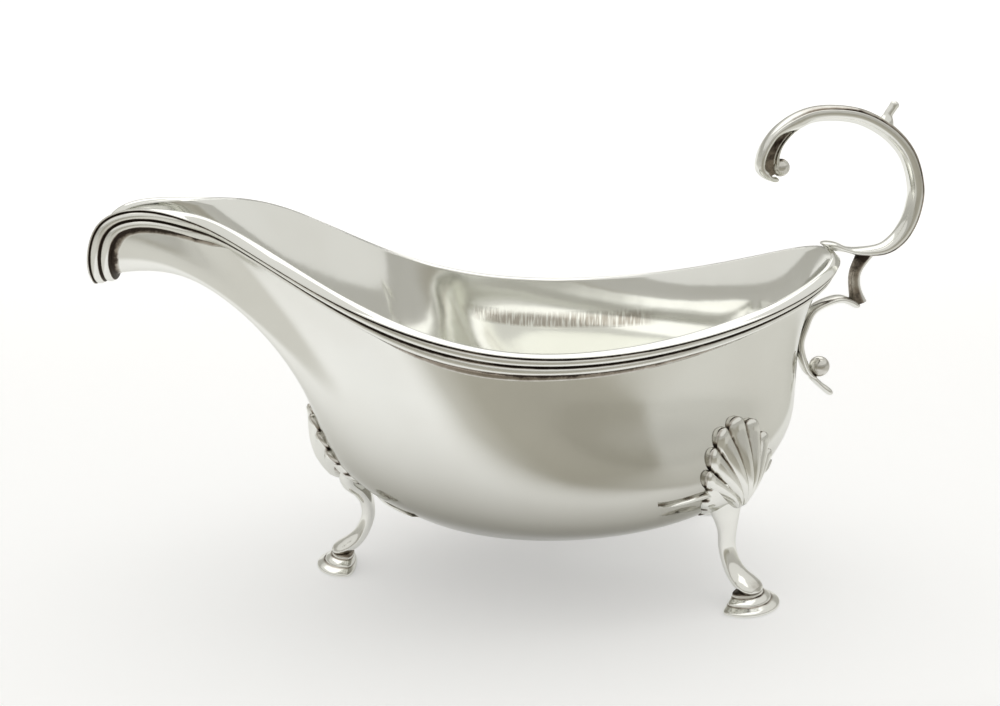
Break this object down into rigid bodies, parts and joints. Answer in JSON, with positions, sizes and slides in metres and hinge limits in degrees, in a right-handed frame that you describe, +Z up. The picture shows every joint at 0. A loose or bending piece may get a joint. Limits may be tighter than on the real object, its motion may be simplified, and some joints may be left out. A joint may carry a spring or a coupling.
{
  "type": "sauce boat",
  "caption": "Footed oval sauce boat with a long drooping lip, reeded rim, flying scroll handle and shell-kneed cabriole legs",
  "frame": {"origin": "on the table, under the middle of the overall length and on the centre plane", "axes": "+Z up, -X the way the lip points, +X towards the handle, +Y to the right of someone looking from the handle to the lip"},
  "size_m": [0.1818, 0.0902, 0.1038],
  "materials": {
    "silver_sheet": "hand-polished silver with faint hammer marks inside",
    "silver_wire": "polished silver reeds with dark grooves",
    "silver_cast": "polished cast silver, tarnished in the recesses"
  },
  "bodies": {
    "root": {"bowl": "silver_sheet", "rim_wire": "silver_wire", "handle_scroll": "silver_cast", "scroll_bud": "silver_cast", "thumb_rest": "silver_cast", "handle_strut": "silver_cast", "lower_scroll": "silver_cast", "lower_scroll_bud": "silver_cast", "tail_leaf": "silver_cast", "drop_leaf": "silver_cast", "front_leg": "silver_cast", "front_knee_shell": "silver_cast", "front_tongue_a": "silver_cast", "front_tongue_b": "silver_cast", "rear_left_leg": "silver_cast", "rear_left_knee_shell": "silver_cast", "rear_left_tongue_a": "silver_cast", "rear_left_tongue_b": "silver_cast", "rear_right_leg": "silver_cast", "rear_right_knee_shell": "silver_cast", "rear_right_tongue_a": "silver_cast", "rear_right_tongue_b": "silver_cast"}
  },
  "joints": []
}
